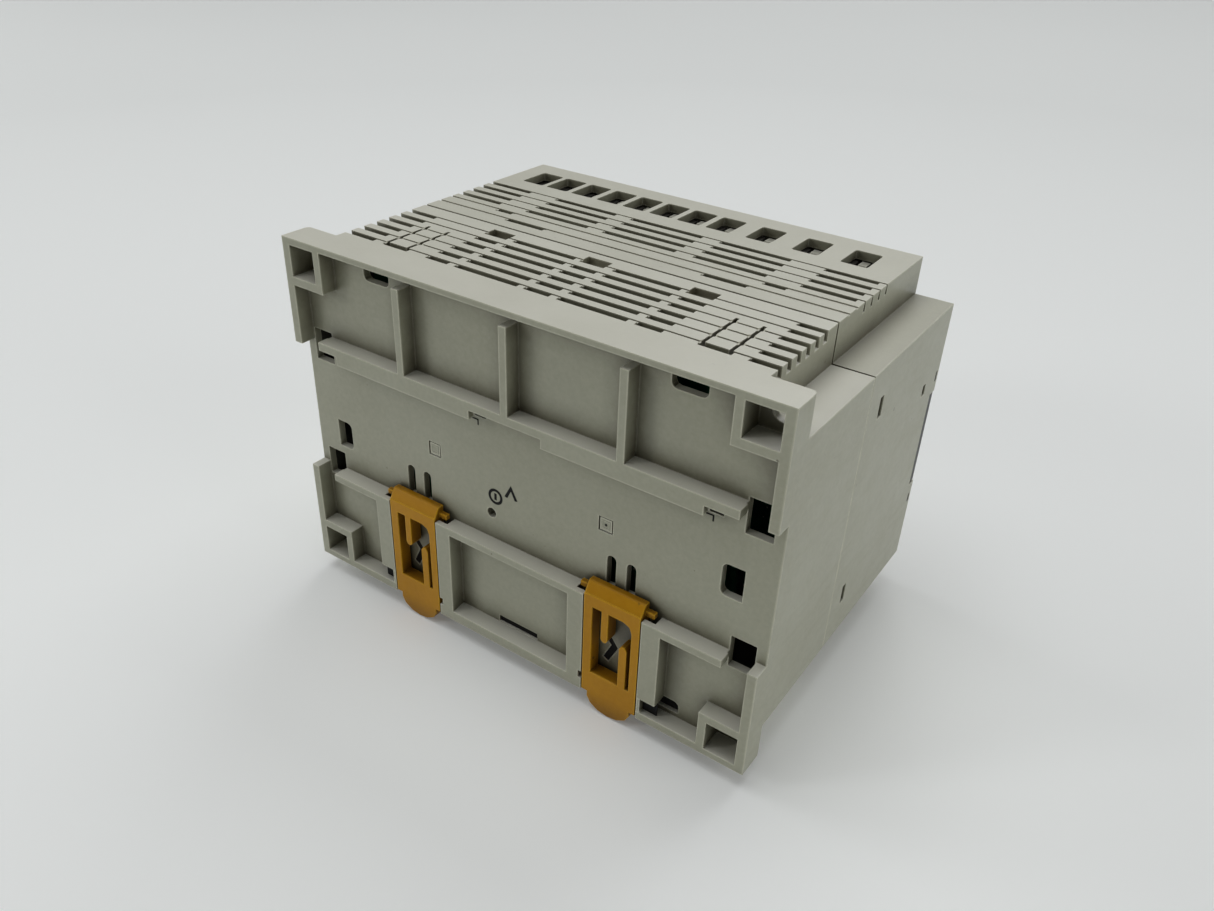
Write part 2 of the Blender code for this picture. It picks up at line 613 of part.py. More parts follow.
def fascia():
    back = BAND_D + GAP
    panel = Piece("front_panel", "panel_dark")
    add_box(panel.bm, 1.5, DOOR_HINGE_U - 1.7, BAND_W0 + 0.4, BAND_W1 - 0.4, back, PANEL_D)
    holes = panel.tool("DIFFERENCE")
    for u0, u1, w0, w1 in (LENS, EXPANSION, *((u, u + OPTION[0], *OPTION[1:]) for u in OPTIONS)):
        add_box(holes, u0, u1, w0, w1, BAND_D, DEPTH)
    for w in TRIMMERS:
        add_round(holes, "d", (TRIMMER_U, w), TRIMMER_HOLE_R, BAND_D, DEPTH, 16)
    panel.build()

    lens = Piece("led_lens", "lens_smoked")
    add_box(lens.bm, LENS[0] + GAP, LENS[1] - GAP, LENS[2] + GAP, LENS[3] - GAP, back, 84.3)
    lens.build()

    size, low, high = OPTION
    for number, u in enumerate(OPTIONS, 1):
        front = 84.5
        groove = [(front, 34.5), (front - 0.5, 34.9), (front - 0.5, 35.6), (front, 36.0)]
        outline = [(back, low + GAP), (front, low + GAP), *groove, (front, high - GAP), (back, high - GAP)]
        prism_piece(f"option_cover_{number}", "housing_grey", "u", outline, u + GAP, u + size - GAP)

    u0, u1, low, high = EXPANSION
    front = 84.8
    grip = []
    for w in (41.5, 43.5, 45.5, 47.5):
        grip += [(front, w - 0.5), (front - 0.6, w), (front - 0.6, w + 1.0)]
    outline = [(back, low + GAP), (front, low + GAP), *grip, (front, 49.0), (front, high - GAP), (back, high - GAP)]
    prism_piece("expansion_cover", "housing_grey", "u", outline, u0 + GAP, u1 - GAP)


def terminal_block(name, sign, starts):
    """Stepped block: each tier is a comb of barrier walls, one at each start and at the end."""
    piece = Piece(name, "terminal_black")
    for number, ((far, near), base, top) in enumerate(TIERS):
        outline = [(BLOCK_U0, BLOCK_D), (BLOCK_U0, base)]
        for start in starts:
            outline += [(start, base), (start, top), (start + BARRIER_T, top), (start + BARRIER_T, base)]
        last = BLOCK_U1 - BARRIER_T
        outline += [(last, base), (last, top), (BLOCK_U1, top), (BLOCK_U1, BLOCK_D)]
        span = sorted((above_or_below(sign, far), above_or_below(sign, near)))
        add_prism(piece.tool("UNION") if number else piece.bm, "w", outline, *span)
    return piece.build()


def terminal_screws(prefix, sign, centres):
    back = TIERS[0][1] + GAP
    for number, u in enumerate(centres, 1):
        centre = (u, above_or_below(sign, SCREW_W))
        round_piece(f"{prefix}_{number:02d}", "screw_steel", "d", centre, SCREW_R, back, back + SCREW_T, 14)


def port_bay():
    shell = Piece("usb_shell", "shell_metal")
    add_box(shell.bm, 106.5, 118.5, 46.8, 57.8, BAY_D + GAP, 81.0)
    add_box(shell.tool("DIFFERENCE"), 107.0, 118.0, 47.3, 57.3, BAY_D + 2, BAND_D)
    shell.build()
    box_piece("usb_tongue")

    cell_d, cell_w = 73.4, 38.6
    back, rim = BAY_D + GAP, 76.5
    saddle = arc(cell_d, cell_w, 6.2, 300, 60, 8)
    outline = [(back, 32.0), (rim, 32.0), *saddle, (rim, 45.2), (back, 45.2)]
    prism_piece("battery_holder", "part_black", "u", outline, 105.5, 125.0)
    round_piece("battery", "cell_wrap", "u", (cell_d, cell_w), 5.8, 106.0, 124.0, 20)

    body = Piece("mode_switch_body", "part_black")
    add_box(body.bm, 120.0, 125.4, 47.0, 57.6, BAY_D + GAP, 78.0)
    add_box(body.tool("DIFFERENCE"), 121.4, 124.0, 48.6, 56.0, 75.4, 79.0)
    body.build()
    box_piece("mode_switch_slider", (122.7, 50.3, 77.8))


def power_section():
    core = Piece("transformer_core", "core_steel")
    add_box(core.bm, 70.0, 98.0, 48.0, 72.0, 20.5, 31.5)
    eyes = core.tool("DIFFERENCE")
    for u in (77.5, 90.5):
        add_box(eyes, u - 3.0, u + 3.0, 53.0, 67.0, 19.0, 33.0)
    core.build()
    coil = Piece("transformer_coil", "tape_yellow")
    add_box(coil.bm, 74.8, 93.2, 53.3, 66.7, ON_POWER, 36.0)
    add_box(coil.tool("DIFFERENCE"), 80.2, 87.8, 52.0, 68.0, 20.2, 31.8)
    coil.build()

    round_piece("bulk_capacitor", "can_sleeve", "d", (50.0, 60.0), 8.0, ON_POWER, 41.6, 20, 0.6)
    round_piece("fuse", "tube_glass", "u", (19.0, 74.0), 2.6, 22.0, 42.0, 12)
    choke = Piece("filter_choke", "tape_yellow")
    add_round(choke.bm, "d", (32.0, 50.0), 8.0, ON_POWER, 23.6, 20)
    add_round(choke.tool("DIFFERENCE"), "d", (32.0, 50.0), 3.0, 12.0, 26.0)
    choke.build()

    u0, pitch, fin, fins = 56.0, 6.0, 1.5, 6
    base, tip = 18.5, 33.0
    outline = [(u0, ON_POWER)]
    for k in range(fins):
        u = u0 + pitch * k
        outline += [(u, tip), (u + fin, tip), (u + fin, base), (u + pitch, base)]
    outline = outline[:-2] + [(u0 + pitch * (fins - 1) + fin, ON_POWER)]
    prism_piece("heat_sink", "sink_alloy", "w", outline, 10.0, 36.0)


def processor_section():
    foot = 78.0
    guide = [(32.0, ON_CPU), (32.0, foot)]
    for k in range(8):
        u = 33.0 + 8.2 * k
        guide += [(u, foot), (u, 81.6), (u + 3.0, 81.6), (u + 3.0, foot)]
    guide += [(96.0, foot), (96.0, ON_CPU)]
    prism_piece("light_guide", "knob_white", "w", guide, 50.0, 56.0)

    socket = Piece("expansion_socket", "part_black")
    add_box(socket.bm, 8.0, 22.0, 35.0, 55.0, ON_CPU, 81.5)
    add_box(socket.tool("DIFFERENCE"), 10.5, 19.5, 37.0, 53.0, 77.2, 83.0)
    socket.build()
    for number, w in enumerate(TRIMMERS, 1):
        round_piece(f"trimmer_rotor_{number}", "knob_white", "d", (TRIMMER_U, w), 2.2, 78.3, 83.8,
                    pivot=(TRIMMER_U, w, 80.0))


for old in list(bpy.data.objects):
    bpy.data.objects.remove(old, do_unlink=True)
PARTS = bpy.data.collections.new("plc_module")
CUTTERS = bpy.data.collections.new("cutters")
bpy.context.scene.collection.children.link(PARTS)
bpy.context.scene.collection.children.link(CUTTERS)

rear_case()
front_case()
for clip_name, clip_u in zip(("din_clip_left", "din_clip_right"), CLIP_CENTRES):
    din_clip(clip_name, clip_u)
hinged_cover("upper_terminal_cover", 1)
hinged_cover("lower_terminal_cover", -1)
port_door()
fascia()
terminal_block("upper_terminal_block", 1, [u - 4.4 for u in WINDOWS])
terminal_block("lower_terminal_block", -1, [u - 5.0 for u in LOWER_WINDOWS])
terminal_screws("upper_screw", 1, [u + 0.55 for u in WINDOWS])
terminal_screws("lower_screw", -1, [u + 1.2 for u in LOWER_WINDOWS])
port_bay()
power_section()
processor_section()
for box_name in ("power_board", "io_board", "cpu_board", "riser_board", "cpu_header", "relay_1",
                 "relay_2", "relay_3", "processor", "optocoupler_bank", "trimmer_body"):
    box_piece(box_name)
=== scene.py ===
"""Looks of a brick-shaped programmable logic controller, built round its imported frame."""

import json
import math

import bmesh
import bpy
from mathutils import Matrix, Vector


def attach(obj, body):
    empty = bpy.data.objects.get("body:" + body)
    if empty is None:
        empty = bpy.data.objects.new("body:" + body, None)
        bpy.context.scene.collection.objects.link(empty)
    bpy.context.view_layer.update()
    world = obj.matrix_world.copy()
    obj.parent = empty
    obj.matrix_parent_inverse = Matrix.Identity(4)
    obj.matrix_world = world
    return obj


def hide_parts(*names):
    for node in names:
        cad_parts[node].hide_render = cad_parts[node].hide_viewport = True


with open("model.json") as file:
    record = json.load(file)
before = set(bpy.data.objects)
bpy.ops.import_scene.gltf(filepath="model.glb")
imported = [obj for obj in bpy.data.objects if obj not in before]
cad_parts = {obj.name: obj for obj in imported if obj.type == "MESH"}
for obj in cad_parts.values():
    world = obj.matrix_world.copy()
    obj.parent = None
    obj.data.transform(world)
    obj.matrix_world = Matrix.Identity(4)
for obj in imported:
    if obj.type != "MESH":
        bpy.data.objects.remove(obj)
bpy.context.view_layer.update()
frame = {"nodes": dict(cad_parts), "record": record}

# Sizes and depths of the module in mm; a depth is counted from its rear face.
MM = 0.001
WIDTH, HEIGHT, DEPTH = 130.0, 90.0, 85.0
TAB_DROP = 4.5          # how far the clips' tips hang below the case
TIPS_D = 3.4            # the depth at which those tips stand
FLOOR_D = 4.0           # the floor of the rail channel
SEAM_D = 37.5           # the joint between the two halves of the case
FRONT_WALL_D = 80.0     # the inside of the front wall

# Where the camera stands for the view from behind, above and to one side.
CAMERA_PLACE = (-0.12145, 0.18488, 0.17638)
CAMERA_TURN = (58.234, -2.061, -145.093)
CAMERA_LENS = 30.13


def place(u, w, d):
    """A point in metres: u to the right seen from behind, w up and d forward, in mm."""
    return Vector(((WIDTH / 2 - u) * MM, (DEPTH / 2 - d) * MM, (w + TAB_DROP) * MM))


def measures(point):
    """The u, w and d of a point, the other way round from place."""
    return WIDTH / 2 - point.x / MM, point.z / MM - TAB_DROP, DEPTH / 2 - point.y / MM


# ---------------------------------------------------------------- materials

class Graph:
    """Short names for making and linking shader nodes."""

    def __init__(self, name):
        self.material = bpy.data.materials.new(name)
        self.material.use_nodes = True
        self.tree = self.material.node_tree
        self.shader = self.tree.nodes["Principled BSDF"]
        self.coords = self.add("ShaderNodeTexCoord").outputs["Object"]

    def add(self, kind, inputs=None, **settings):
        node = self.tree.nodes.new(kind)
        for key, value in settings.items():
            setattr(node, key, value)
        for key, value in (inputs or {}).items():
            if isinstance(value, bpy.types.NodeSocket):
                self.tree.links.new(value, node.inputs[key])
            else:
                node.inputs[key].default_value = value
        return node

    def noise(self, scale, detail, rough, stretch=None, offset=0.0):
        vector = self.coords
        if stretch or offset:
            vector = self.add("ShaderNodeMapping", {
                "Vector": vector, "Scale": stretch or (1, 1, 1),
                "Location": (offset, offset, offset)}).outputs["Vector"]
        return self.add("ShaderNodeTexNoise", {
            "Vector": vector, "Scale": scale, "Detail": detail,
            "Roughness": rough}).outputs["Fac"]

    def remap(self, value, low, high, to_low=0.0, to_high=1.0, smooth=False):
        steps = "SMOOTHSTEP" if smooth else "LINEAR"
        return self.add("ShaderNodeMapRange", {
            "Value": value, "From Min": low, "From Max": high,
            "To Min": to_low, "To Max": to_high},
            clamp=True, interpolation_type=steps).outputs["Result"]

    def math(self, operation, a, b=0.0):
        node = self.add("ShaderNodeMath", operation=operation)
        for socket, value in zip(node.inputs, (a, b)):
            if isinstance(value, bpy.types.NodeSocket):
                self.tree.links.new(value, socket)
            else:
                socket.default_value = value
        return node.outputs[0]

    def mix(self, factor, a, b):
        node = self.add("ShaderNodeMix", data_type="RGBA")
        for index, value in ((0, factor), (6, a), (7, b)):
            if isinstance(value, bpy.types.NodeSocket):
                self.tree.links.new(value, node.inputs[index])
            elif index:
                node.inputs[index].default_value = (*value, 1.0)
            else:
                node.inputs[index].default_value = value
        return node.outputs[2]

    def worn_and_highlit_edges(self, radius):
        """1 along edges and 0 on flats, from how far a rounded normal leans."""
        bevel = self.add("ShaderNodeBevel", {"Radius": radius}, samples=4).outputs["Normal"]
        true = self.add("ShaderNodeNewGeometry").outputs["True Normal"]
        dot = self.add("ShaderNodeVectorMath", operation="DOT_PRODUCT")
        self.tree.links.new(bevel, dot.inputs[0])
        self.tree.links.new(true, dot.inputs[1])
        lean = self.math("SUBTRACT", 1.0, dot.outputs["Value"])
        return self.remap(lean, 0.02, 0.16)

    def crevices(self, distance):
        """1 in open places and 0 deep in corners."""
        node = self.add("ShaderNodeAmbientOcclusion", {"Distance": distance}, samples=6)
        return node.outputs["AO"]

    def bump(self, height, strength, distance, normal=None):
        inputs = {"Height": height, "Strength": strength, "Distance": distance}
        if normal is not None:
            inputs["Normal"] = normal
        return self.add("ShaderNodeBump", inputs).outputs["Normal"]

    def finish(self, colour, rough, normal=None, **constants):
        for key, value in (("Base Color", colour), ("Roughness", rough), ("Normal", normal)):
            if value is not None:
                self.tree.links.new(value, self.shader.inputs[key])
        for key, value in constants.items():
            self.shader.inputs[key.replace("_", " ")].default_value = value
        return self.material


def inside_shade_mask(g):
    """1 on the faces inside the case, where dark shade is painted.

    It is 0 on the case's skin, in the port bay and in the wire wells.
    """
    parts = g.add("ShaderNodeSeparateXYZ", {"Vector": g.coords}).outputs
    across = g.math("ABSOLUTE", parts["X"])
    middle = (HEIGHT / 2 + TAB_DROP) * MM
    height = g.math("ABSOLUTE", g.math("SUBTRACT", parts["Z"], middle))
    depth = g.math("SUBTRACT", DEPTH / 2 * MM, parts["Y"])

    def under(value, limit):
        return g.math("LESS_THAN", value, limit * MM)

    def over(value, limit):
        return g.math("GREATER_THAN", value, limit * MM)

    def both(a, b):
        return g.math("MULTIPLY", a, b)

    wide = both(under(across, 62.9), under(height, 33.7))
    tall = both(under(across, 53.6), under(height, 42.9))
    mask = g.math("MAXIMUM", wide, tall)
    mask = both(mask, over(depth, 5.9))
    mask = both(mask, under(depth, 80.2))
    bay = both(under(parts["X"], -38.6), under(height, 14.4))
    bay = both(bay, over(depth, 65.5))
    wells = both(over(height, 19.0), over(depth, 62.0))
    return both(mask, g.math("SUBTRACT", 1.0, g.math("MAXIMUM", bay, wells)))


DUST_AND_TOP_LIGHT = (0.77, 0.765, 0.68)
# Painted shade for the inside of the case: a near-black colour.
INSIDE_SHADE = (0.05, 0.048, 0.04)
GREY_SOIL_AND_SHADE = (0.085, 0.074, 0.045)


def paint_case_dust_and_shade(g, colour):
    """Pale dust mixed with painted light on upward faces, less of it on the front half and the
    shoulder tops as painted shade, and painted shade inside.
    """
    normal = g.add("ShaderNodeNewGeometry").outputs["Normal"]
    upward = g.add("ShaderNodeSeparateXYZ", {"Vector": normal}).outputs["Z"]
    patchy = g.remap(g.noise(60, 4, 0.6, offset=7.7), 0.3, 0.7, 0.68, 0.78)
    # Partly painted light: upward faces are paled towards the dust colour, which brightens the
    # tops as the lamps would.
    dust_and_top_light = g.math("MULTIPLY", g.remap(upward, 0.7, 0.97), patchy)
    parts = g.add("ShaderNodeSeparateXYZ", {"Vector": g.coords}).outputs
    rear = g.math("GREATER_THAN", parts["Y"], (DEPTH / 2 - SEAM_D) * MM)
    top = g.math("GREATER_THAN", parts["Z"], HEIGHT * MM)
    # Painted shade: the front half and the shoulder tops get less of it, where the light falls
    # off.
    dust_and_top_light = g.math("MULTIPLY", dust_and_top_light, g.remap(rear, 0, 1, 0.86, 1.0))
    not_shoulder = g.math("MAXIMUM", rear, top)
    dust_and_top_light = g.math("MULTIPLY", dust_and_top_light, g.remap(not_shoulder, 0, 1, 0.62, 1.0))
    colour = g.mix(dust_and_top_light, colour, DUST_AND_TOP_LIGHT)
    # Painted shade: the faces inside the case are darkened, since little light gets in.
    return g.mix(inside_shade_mask(g), colour, INSIDE_SHADE)


def moulded(name, base, dark, light, soil_and_shade, rough=0.34, edge=0.6, shade_and_dirt=0.6, shine=0.5,
            case_dust_and_shade=False):
    """Satin moulded plastic: mottled, fine in grain, with painted shade and grime in corners,
    and paler on edges, where a painted highlight is mixed with wear.
    """
    g = Graph(name)
    cloud = g.remap(g.noise(28, 4, 0.6), 0.3, 0.7, smooth=True)
    colour = g.mix(cloud, dark, base)
    fine = g.remap(g.noise(900, 3, 0.6), 0.3, 0.7)
    colour = g.mix(g.math("MULTIPLY", fine, 0.09), colour, light)
    # Painted shade mixed with grime: the colour is darkened towards the soil colour where
    # ambient occlusion finds recesses (7 mm) and tight corners (1.2 mm).
    recess_shade = g.remap(g.crevices(0.007), 0.52, 0.97, 1.0, 0.0)
    grime_and_shade = g.math("MULTIPLY", recess_shade, g.remap(g.noise(90, 4, 0.65), 0.3, 0.65, 0.7, 1.0))
    colour = g.mix(g.math("MULTIPLY", grime_and_shade, shade_and_dirt), colour, soil_and_shade)
    corner = g.remap(g.crevices(0.0012), 0.4, 0.85, 1.0, 0.0)
    colour = g.mix(g.math("MULTIPLY", corner, 0.75 * shade_and_dirt), colour, soil_and_shade)
    specks = g.remap(g.noise(520, 2, 0.5), 0.735, 0.76)
    gate = g.remap(g.noise(45, 2, 0.5, offset=3.1), 0.5, 0.62)
    specks = g.math("MULTIPLY", specks, gate)
    colour = g.mix(g.math("MULTIPLY", specks, 0.75), colour, soil_and_shade)
    # Painted highlight mixed with wear: convex edges, where the bevel normal leans, are paled
    # towards the light colour, as strongly as edge says.
    rubbed = g.remap(g.noise(150, 3, 0.6, offset=1.7), 0.3, 0.6, 0.6, 1.0)
    wear_and_highlight = g.math("MULTIPLY", g.worn_and_highlit_edges(0.0006), rubbed)
    wear_and_highlight = g.math("MULTIPLY", wear_and_highlight, g.math("SUBTRACT", 1.0, corner))
    colour = g.mix(g.math("MULTIPLY", wear_and_highlight, edge), colour, light)
    if case_dust_and_shade:
        colour = paint_case_dust_and_shade(g, colour)
    scuff = g.remap(g.noise(70, 5, 0.7, stretch=(1, 1, 7), offset=5.3), 0.5, 0.75)
    satin = g.remap(g.noise(160, 3, 0.6), 0.3, 0.7, rough - 0.03, rough + 0.05)
    roughness = g.math("ADD", satin, g.math("MULTIPLY", scuff, 0.1))
    spark = g.noise(3200, 2, 0.6)
    orange_peel = g.noise(420, 2, 0.5)
    normal = g.bump(spark, 0.05, 0.00008)
    normal = g.bump(orange_peel, 0.03, 0.0003, normal)
    return g.finish(colour, roughness, normal, Specular_IOR_Level=shine)


def metal(name, base, dark, rough=0.28, stretch=(1, 1, 14), scale=300):
    """Plated or rolled metal with a drawn grain and dull spots."""
    g = Graph(name)
    streak = g.remap(g.noise(scale, 4, 0.6, stretch=stretch), 0.3, 0.7)
    tarnish = g.remap(g.noise(190, 4, 0.65, offset=2.2), 0.45, 0.7)
    colour = g.mix(streak, dark, base)
    colour = g.mix(g.math("MULTIPLY", tarnish, 0.5), colour, dark)
    drawn = g.remap(streak, 0, 1, rough - 0.06, rough + 0.08)
    roughness = g.math("ADD", drawn, g.math("MULTIPLY", tarnish, 0.16))
    return g.finish(colour, roughness, g.bump(streak, 0.12, 0.00006), Metallic=1.0)


def board(name):
    """Solder mask over copper: tracks, pads and a faint weave."""
    g = Graph(name)
    cells = g.add("ShaderNodeTexBrick", {
        "Vector": g.coords, "Scale": 420.0, "Mortar Size": 0.09, "Color1": (1, 1, 1, 1),
        "Color2": (0.75, 0.75, 0.75, 1), "Mortar": (0, 0, 0, 1)}).outputs["Fac"]
    tracks = g.remap(g.noise(340, 1, 0.4, stretch=(1, 1, 0.25)), 0.52, 0.56)
    colour = g.mix(g.math("MULTIPLY", tracks, 0.6), (0.012, 0.10, 0.045), (0.03, 0.2, 0.085))
    colour = g.mix(g.math("MULTIPLY", cells, 0.25), colour, (0.008, 0.07, 0.03))
    holes = g.add("ShaderNodeTexVoronoi", {"Vector": g.coords, "Scale": 380.0})
    pads = g.remap(holes.outputs["Distance"], 0.1, 0.14, 1.0, 0.0)
    colour = g.mix(pads, colour, (0.55, 0.52, 0.46))
    roughness = g.remap(g.noise(120, 3, 0.6), 0.3, 0.7, 0.3, 0.46)
    return g.finish(colour, roughness, g.bump(tracks, 0.2, 0.00004))


def wound(name, base, dark):
    """Wire or tape wound in fine even turns."""
    g = Graph(name)
    turns = g.add("ShaderNodeTexWave", {"Vector": g.coords, "Scale": 900, "Distortion": 0.6,
                                        "Detail": 2.0}, bands_direction="Z").outputs["Fac"]
    mottle = g.remap(g.noise(200, 4, 0.6), 0.3, 0.7)
    colour = g.mix(g.math("MULTIPLY", turns, 0.7), dark, base)
    colour = g.mix(g.math("MULTIPLY", mottle, 0.3), colour, dark)
    return g.finish(colour, g.remap(mottle, 0, 1, 0.36, 0.55), g.bump(turns, 0.5, 0.00012))


def sleeve(name, base, dark, band_colour):
    """Printed shrink sleeve with one plain band along it."""
    g = Graph(name)
    parts = g.add("ShaderNodeSeparateXYZ", {"Vector": g.coords})
    shade = g.remap(g.noise(160, 3, 0.5), 0.3, 0.7)
    colour = g.mix(shade, dark, base)
    stripe = g.remap(parts.outputs["Z"], 0.0622, 0.0624)
    colour = g.mix(g.math("MULTIPLY", stripe, 0.85), colour, band_colour)
    return g.finish(colour, g.remap(shade, 0, 1, 0.25, 0.4), g.bump(shade, 0.1, 0.0001))


def smoked(name):
    """Smoked clear plastic: dark, glossy, faintly scratched."""
    g = Graph(name)
    haze = g.remap(g.noise(60, 4, 0.6), 0.4, 0.75)
    colour = g.mix(haze, (0.026, 0.03, 0.028), (0.042, 0.046, 0.043))
    return g.finish(colour, g.remap(haze, 0, 1, 0.08, 0.26), g.bump(haze, 0.05, 0.00004),
                    Coat_Weight=0.4, Coat_Roughness=0.08)


def clear_tube(name):
    """Clear glass or plastic, a little uneven."""
    g = Graph(name)
    bands = g.remap(g.noise(120, 2, 0.5), 0.3, 0.7)
    colour = g.mix(bands, (0.62, 0.68, 0.68), (0.86, 0.9, 0.9))
    return g.finish(colour, g.remap(bands, 0, 1, 0.05, 0.14), Transmission_Weight=0.7, IOR=1.47)


LOOKS = {
    "housing_grey": moulded(
        "housing_grey", (0.395, 0.398, 0.300), (0.37, 0.369, 0.272), (0.84, 0.83, 0.67),
        GREY_SOIL_AND_SHADE, edge=1.0, shade_and_dirt=0.9, case_dust_and_shade=True),
    "clip_amber": moulded(
        "clip_amber", (0.54, 0.25, 0.002), (0.46, 0.205, 0.002), (0.86, 0.5, 0.03),
        (0.11, 0.052, 0.01), rough=0.36, edge=0.9, shade_and_dirt=0.8, shine=0.2),
    "panel_dark": moulded(
        "panel_dark", (0.06, 0.064, 0.064), (0.042, 0.045, 0.046), (0.12, 0.12, 0.12),
        (0.09, 0.085, 0.07), rough=0.5),
    "terminal_black": moulded(
        "terminal_black", (0.035, 0.035, 0.037), (0.022, 0.022, 0.024), (0.09, 0.09, 0.09),
        (0.07, 0.065, 0.05), rough=0.5),
    "part_black": moulded(
        "part_black", (0.012, 0.012, 0.013), (0.008, 0.008, 0.009), (0.04, 0.04, 0.04),
        (0.012, 0.011, 0.009), rough=0.48, shine=0.08),
    "knob_white": moulded(
        "knob_white", (0.76, 0.76, 0.73), (0.68, 0.68, 0.64), (0.86, 0.86, 0.84),
        (0.3, 0.28, 0.22), rough=0.4),
    "lens_smoked": smoked("lens_smoked"),
    "screw_steel": metal("screw_steel", (0.66, 0.64, 0.58), (0.4, 0.38, 0.33)),
    "shell_metal": metal("shell_metal", (0.74, 0.74, 0.74), (0.5, 0.5, 0.5), rough=0.24),
    "core_steel": metal("core_steel", (0.27, 0.27, 0.28), (0.14, 0.14, 0.15), rough=0.42,
                        stretch=(1, 20, 1), scale=700),
    "sink_alloy": metal("sink_alloy", (0.74, 0.74, 0.75), (0.55, 0.55, 0.56), rough=0.34,
                        stretch=(14, 1, 1)),
    "board_green": board("board_green"),
    "tape_yellow": wound("tape_yellow", (0.66, 0.5, 0.07), (0.42, 0.3, 0.03)),
    "cell_wrap": sleeve("cell_wrap", (0.11, 0.22, 0.48), (0.07, 0.15, 0.36), (0.7, 0.7, 0.68)),
    "can_sleeve": sleeve("can_sleeve", (0.035, 0.045, 0.13), (0.02, 0.028, 0.085),
                         (0.6, 0.6, 0.6)),
    "tube_glass": clear_tube("tube_glass"),
}
SLOT_OF = {row["node"]: row["material_slot"] for row in frame["record"]["subparts"]}
BODY_OF = {node: body for body, nodes in frame["record"]["behaviour"]["bodies"].items()
           for node in nodes}


# ------------------------------------------------------------------- pieces

def clean_copy(node):
    """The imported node's faces merged back into whole flats."""
    bm = bmesh.new()
    bm.from_mesh(frame["nodes"][node].data)
    bmesh.ops.remove_doubles(bm, verts=bm.verts, dist=2e-6)
    bmesh.ops.dissolve_limit(bm, angle_limit=math.radians(0.6), verts=bm.verts, edges=bm.edges)
    bmesh.ops.dissolve_degenerate(bm, dist=5e-6, edges=bm.edges)
    return bm


def by_bar_foot(point):
    """The narrow step between the foot of a clip's bar and the hole behind it."""
    u, w, d = measures(point)
    return (18.9 < u < 28.0 or 102.0 < u < 111.1) and 6.2 < w < 6.7 and 2.9 < d < 6.4


def soften(bm, width):
    """Rounds the outward edges, as a moulded piece's are.

    Those on the front wall's inside and by the bars' feet stay sharp: the faces there are
    narrower than the rounding.
    """
    edges = []
    inside = (DEPTH / 2 - FRONT_WALL_D) * MM
    for edge in bm.edges:
        if len(edge.link_faces) != 2 or not edge.is_convex:
            continue
        if all(abs(vert.co.y - inside) < 0.05 * MM or by_bar_foot(vert.co)
               for vert in edge.verts):
            continue
        if edge.calc_face_angle(0) > math.radians(30.0) and edge.calc_length() > 0:
            edges.append(edge)
    bmesh.ops.bevel(bm, geom=edges, offset=width, offset_type="OFFSET", segments=2,
                    profile=0.6, affect="EDGES", clamp_overlap=False, miter_outer="SHARP")


def make_piece(name, bm, body, slot, replaced=(), sharp=24.0):
    """A piece of the look, which moves with a body and may stand for nodes of the frame."""
    mesh = bpy.data.meshes.new(name)
    bm.to_mesh(mesh)
    bm.free()
    mesh.shade_smooth()
    mesh.set_sharp_from_angle(angle=math.radians(sharp))
    piece = bpy.data.objects.new(name, mesh)
    bpy.context.scene.collection.objects.link(piece)
    piece.data.materials.append(LOOKS[slot])
    weighted = piece.modifiers.new("weighted", "WEIGHTED_NORMAL")
    weighted.keep_sharp = True
    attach(piece, body)
    if replaced:
        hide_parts(*replaced)


# The vents: the depth at which each groove begins, and where the slits cross them.
VENT_ROWS = (11.75, 15.75, 19.8, 23.8, 27.8, 31.7, 50.4, 54.4, 58.4, 62.4)
SLITS = (21.3, 27.4, 104.0, 110.1)
GROOVE_REAR, GROOVE_FRONT = 0.35, 0.9    # a groove's edges, forward of its row
SLIT_HALF = 0.38                         # half of a slit's width
VENT_FLOOR_W = 89.5


def refine_case(bm):
    """Finer grooves and slits, a sill of its real height and side walls without a step."""
    for vert in bm.verts:
        u, w, d = measures(vert.co)
        if abs(w - VENT_FLOOR_W) < 0.02:
            vert.co.z += 0.2 * MM
        if 89.4 < w < 90.05:
            for row in VENT_ROWS:
                if abs(d - row) < 0.01:
                    vert.co.y = (DEPTH / 2 - row - GROOVE_REAR) * MM
            for slit in SLITS:
                if abs(abs(u - slit) - 0.55) < 0.01:
                    half = math.copysign(SLIT_HALF, u - slit)
                    vert.co.x = (WIDTH / 2 - slit - half) * MM
        if 47.0 < u < 83.0 and abs(w - 2.3) < 0.06 and d < 4.2:
            vert.co.z += (0.6 + 0.1 * d) * MM
        elif 59.0 < u < 71.2 and 3.9 < w < 5.9 and d > 3.5:
            vert.co.z -= 0.5 * MM
        if abs(vert.co.x) > 64.9 * MM and abs(d - (SEAM_D - 0.3)) < 0.05:
            vert.co.y = (DEPTH / 2 - SEAM_D + 0.1) * MM
        elif abs(abs(vert.co.x) / MM - 64.65) < 0.02 and SEAM_D - 0.1 < d < SEAM_D + 0.5:
            vert.co.x = math.copysign(64.96 * MM, vert.co.x)


def chamfer_crossings(bm):
    """Cuts off the bars' corners where a slit crosses a groove, which leaves a wide notch."""
    edges = []
    for edge in bm.edges:
        (u, w, d), (u2, w2, d2) = [measures(vert.co) for vert in edge.verts]
        upright = abs(u - u2) < 0.01 and abs(d - d2) < 0.01 and min(w, w2) > 89.6
        on_slit = any(abs(abs(u - slit) - SLIT_HALF) < 0.02 for slit in SLITS)
        on_groove = any(min(abs(d - row - GROOVE_REAR), abs(d - row - GROOVE_FRONT)) < 0.02
                        for row in VENT_ROWS)
        if upright and on_slit and on_groove:
            edges.append(edge)
    bmesh.ops.bevel(bm, geom=edges, offset=0.5 * MM, offset_type="OFFSET", segments=1,
                    affect="EDGES", clamp_overlap=False)


